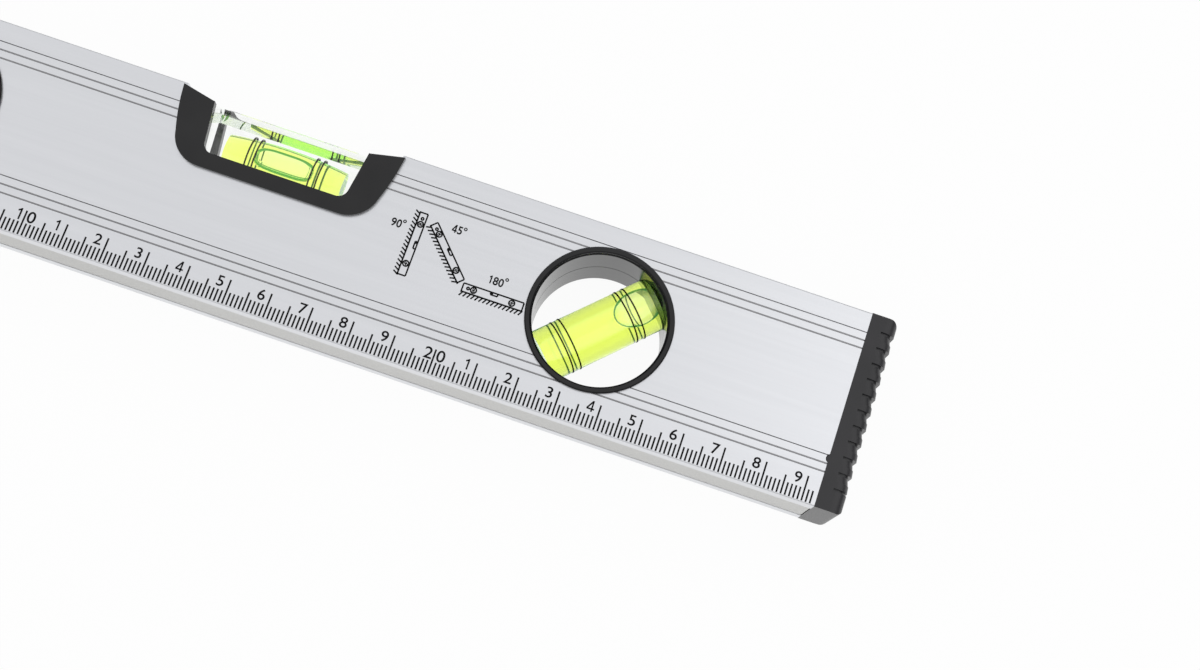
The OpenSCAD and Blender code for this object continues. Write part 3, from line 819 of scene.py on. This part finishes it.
# %% Diagrams
LINE = 0.37 * mm
GROUND_LINE = 0.40 * mm
GROUND_BEFORE = 0.2 * mm
GROUND_AFTER = 0.3 * mm
HATCH = Vector((-0.68, -1.1)) * mm
HATCH_STEP = 0.965 * mm
HATCH_FIRST = 0.45 * mm
HATCH_PAST = 0.4 * mm
HOLES_UP = 0.53
HANG_ALONG = 0.09
HANG_R = 0.29 * mm
WINDOWS_ALONG = ((0.18, math.radians(90)), (0.815, math.radians(45)))
WINDOW_R = 0.68 * mm
VIAL_HALF = 0.5 * mm
VIAL_SIDE = 0.36
VIAL_LINE = 0.24 * mm
BUBBLE_LINE = 0.3 * mm
RECESS_ALONG = (0.45, 0.565)
RECESS_DEEP = 0.62 * mm
RECESS_BUBBLE = 0.6 * mm


def diagram(shape, origin, turned, length, height):
    """The level drawn as a bar that stands on a hatched line; origin is the bar's lower left corner."""
    spin = Matrix.Rotation(turned, 2)

    def at(x, y):
        return Vector(origin) + spin @ Vector((x, y))

    def path(points, width):
        for here, there in zip(points, points[1:]):
            stroke(shape, at(*here), at(*there), width)

    path(((0, 0), (0, height), (length, height), (length, 0)), LINE)
    path(((-GROUND_BEFORE, 0), (length + GROUND_AFTER, 0)), GROUND_LINE)
    x = HATCH_FIRST
    while x < length + HATCH_PAST:
        path(((x, 0), (x + HATCH.x, HATCH.y)), LINE)
        x += HATCH_STEP
    ring_mark(shape, at(HANG_ALONG * length, HOLES_UP * height), HANG_R, LINE)
    for share, lean in WINDOWS_ALONG:
        centre = at(share * length, HOLES_UP * height)
        ring_mark(shape, centre, WINDOW_R, LINE)
        reach = spin @ Vector((math.cos(lean), math.sin(lean))) * VIAL_HALF
        beside = Vector((-reach.y, reach.x)) * VIAL_SIDE
        for side in (-beside, beside):
            stroke(shape, centre - reach + side, centre + reach + side, VIAL_LINE)
        stroke(shape, centre - beside, centre + beside, BUBBLE_LINE)
    left, right_end = (share * length for share in RECESS_ALONG)
    sill, sight = height - RECESS_DEEP, height - BUBBLE_LINE
    path(((left, height), (left, sill), (right_end, sill), (right_end, height)), LINE)
    path(((left, sight), (left + RECESS_BUBBLE, sight)), BUBBLE_LINE)


def on_face(x, height):
    """A place on the face from the rule's reading and the height above the measuring base, in mm."""
    return (rule_zero + x * mm, base_y + height * mm)


LABEL_HEIGHT = 2.0 * mm
LABEL_SQUEEZE = 0.93
LABEL_WEIGHT = 0.065 * mm
DEGREE_R = 0.31 * mm
DEGREE_LINE = 0.25 * mm
DIAGRAMS = (
    ("90", -90, (185.35, 36.1), 15.75 * mm, 1.95 * mm, (181.0, 31.9), (182.75, 32.75)),
    ("45", -46.5, (188.75, 33.75), 15.1 * mm, 1.85 * mm, (194.95, 34.97), (196.75, 35.6)),
    ("180", 0, (200.7, 21.25), 14.75 * mm, 2.05 * mm, (207.5, 26.17), (209.9, 27.25)),
)
drawing = bmesh.new()
for degrees, turned, corner, length, height, digits_at, degree_at in DIAGRAMS:
    diagram(drawing, on_face(*corner), math.radians(turned), length, height)
    number(drawing, degrees, on_face(*digits_at), LABEL_HEIGHT, LABEL_SQUEEZE, LABEL_WEIGHT)
    ring_mark(drawing, on_face(*degree_at), DEGREE_R, DEGREE_LINE)
diagram_print = make_piece("diagram_print", drawing, ink)
print("diagrams:", len(diagram_print.data.polygons), "faces")

# %% [markdown]
# ## Bench and light
# The picture has a pure white ground. The bench is a plain matt white plane. For the camera, and for rays
# that a shiny or clear surface sends on, most of its colour is a steady white, so the ground is white and
# the metal mirrors it, while a part stays diffuse and keeps the soft shadow that seats the level.

# %% Bench finish
GROUND_SHINE = 0.95
BENCH_TONE = (0.86, 0.86, 0.86, 1)
bench = bpy.data.materials.new("white_bench")
bench.use_nodes = True
tree = bench.node_tree
tree.nodes.clear()
matt = tree.nodes.new("ShaderNodeBsdfDiffuse")
steady = tree.nodes.new("ShaderNodeEmission")
blend = tree.nodes.new("ShaderNodeMixShader")
rays = tree.nodes.new("ShaderNodeLightPath").outputs
out = tree.nodes.new("ShaderNodeOutputMaterial")
matt.inputs["Color"].default_value = BENCH_TONE
seen = formula(tree, "MAXIMUM", rays["Is Camera Ray"], rays["Is Glossy Ray"])
seen = formula(tree, "MAXIMUM", seen, rays["Is Transmission Ray"])
tree.links.new(formula(tree, "MULTIPLY", seen, GROUND_SHINE), blend.inputs["Fac"])
tree.links.new(matt.outputs["BSDF"], blend.inputs[1])
tree.links.new(steady.outputs["Emission"], blend.inputs[2])
tree.links.new(blend.outputs["Shader"], out.inputs["Surface"])
print("made", bench.name)

# %% Bench top
BENCH_HALF = 3.0
ground = bmesh.new()
bmesh.ops.create_grid(ground, x_segments=1, y_segments=1, size=BENCH_HALF)
ground_mesh = bpy.data.meshes.new("bench")
ground.to_mesh(ground_mesh)
ground.free()
ground_mesh.materials.append(bench)
bench_top = bpy.data.objects.new("bench", ground_mesh)
bench_top.location.z = cad_box[0].z
bpy.context.scene.collection.objects.link(bench_top)
print("bench at", round(bench_top.location.z / mm, 2))

# %% [markdown]
# The light is one large soft box above and a sky that darkens towards the horizon. The flat face mirrors
# the soft box and stays bright, while the flanks of the score lines look towards the dim horizon and draw
# as thin dark lines. The soft box is set by its brightness, so its size can change without a new exposure.

# %% Sky and lamps
SKY_LOW = 0.07
SKY_HIGH = 0.90
SKY_FULL = 0.55
world = bpy.data.worlds.new("studio")
world.use_nodes = True
tree = world.node_tree
heading = coordinates(tree, "Generated")
climb = tree.nodes.new("ShaderNodeMapRange")
climb.inputs["From Max"].default_value = SKY_FULL
climb.inputs["To Min"].default_value = SKY_LOW
climb.inputs["To Max"].default_value = SKY_HIGH
tree.links.new(heading["Z"], climb.inputs["Value"])
tree.links.new(climb.outputs["Result"], tree.nodes["Background"].inputs["Strength"])
tree.nodes["Background"].inputs["Color"].default_value = (1, 1, 1, 1)
bpy.context.scene.world = world


def soft_box(name, place, aim, size, brightness):
    light = bpy.data.lights.new(name, "AREA")
    light.shape = "SQUARE"
    light.size = size
    light.energy = brightness * math.pi * size * size
    lamp = bpy.data.objects.new(name, light)
    lamp.location = place
    lamp.rotation_euler = (Vector(aim) - Vector(place)).to_track_quat("-Z", "Y").to_euler()
    bpy.context.scene.collection.objects.link(lamp)


OVERHEAD_PLACE = (0.95, 0.2, 0.85)
OVERHEAD_AIM = (0.95, 0.2, 0)
OVERHEAD_SIZE = 1.5
OVERHEAD_BRIGHTNESS = 0.35
soft_box("overhead", OVERHEAD_PLACE, OVERHEAD_AIM, OVERHEAD_SIZE, OVERHEAD_BRIGHTNESS)
